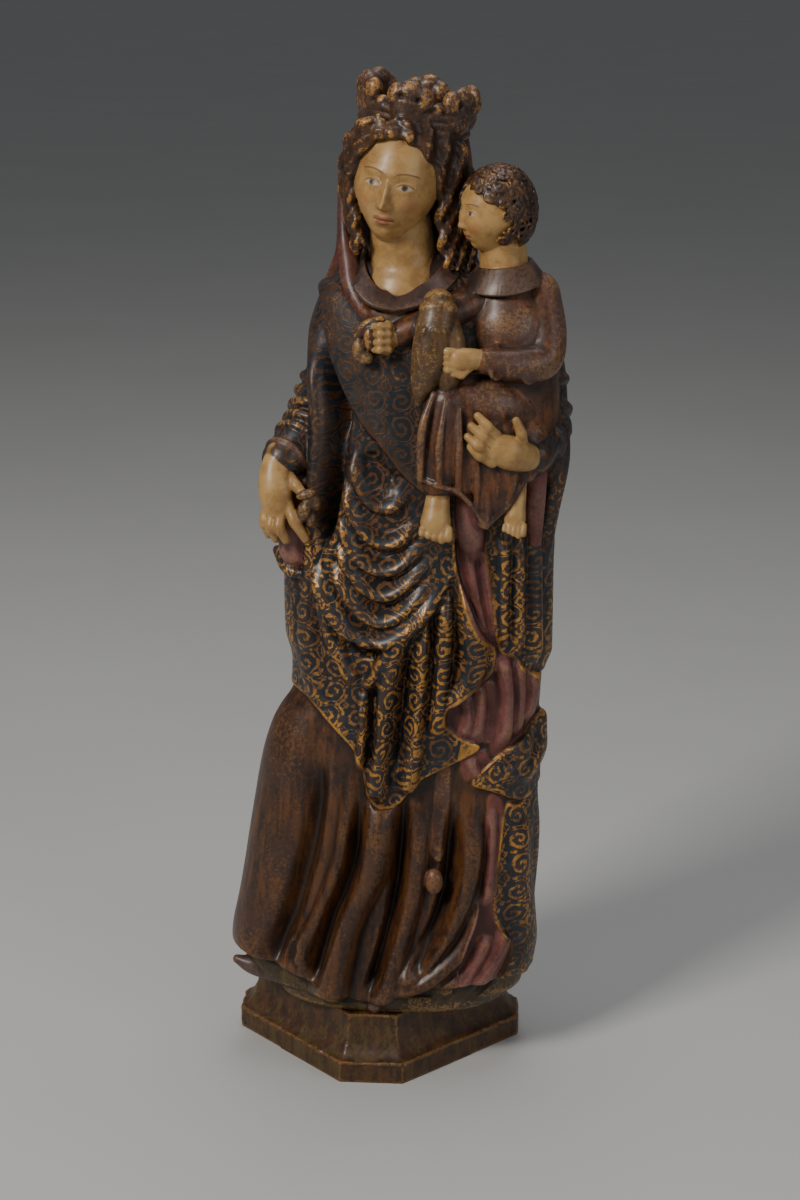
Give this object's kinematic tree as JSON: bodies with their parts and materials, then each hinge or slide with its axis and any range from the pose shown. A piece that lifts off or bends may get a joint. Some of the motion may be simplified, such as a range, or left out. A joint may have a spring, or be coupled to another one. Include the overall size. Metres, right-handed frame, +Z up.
{
  "type": "virgin and child statue",
  "caption": "Carved, painted and gilded wooden statue of a crowned, standing Virgin who holds the child on her arm, on a low moulded base.",
  "frame": {"origin": "centre of the plinth's underside", "axes": "+Z up through the crown, -Y the way the group faces, +X to the viewer's right"},
  "size_m": [0.2083, 0.1315, 0.6166],
  "materials": {
    "polychromed_wood": "old polychromy and gilding on gessoed carved wood, worn, waxed to a low sheen",
    "plinth_paint": "worn red-brown and olive paint on wood, low sheen"
  },
  "bodies": {
    "root": {"virgin_and_child": "polychromed_wood", "plinth": "plinth_paint"}
  },
  "joints": []
}
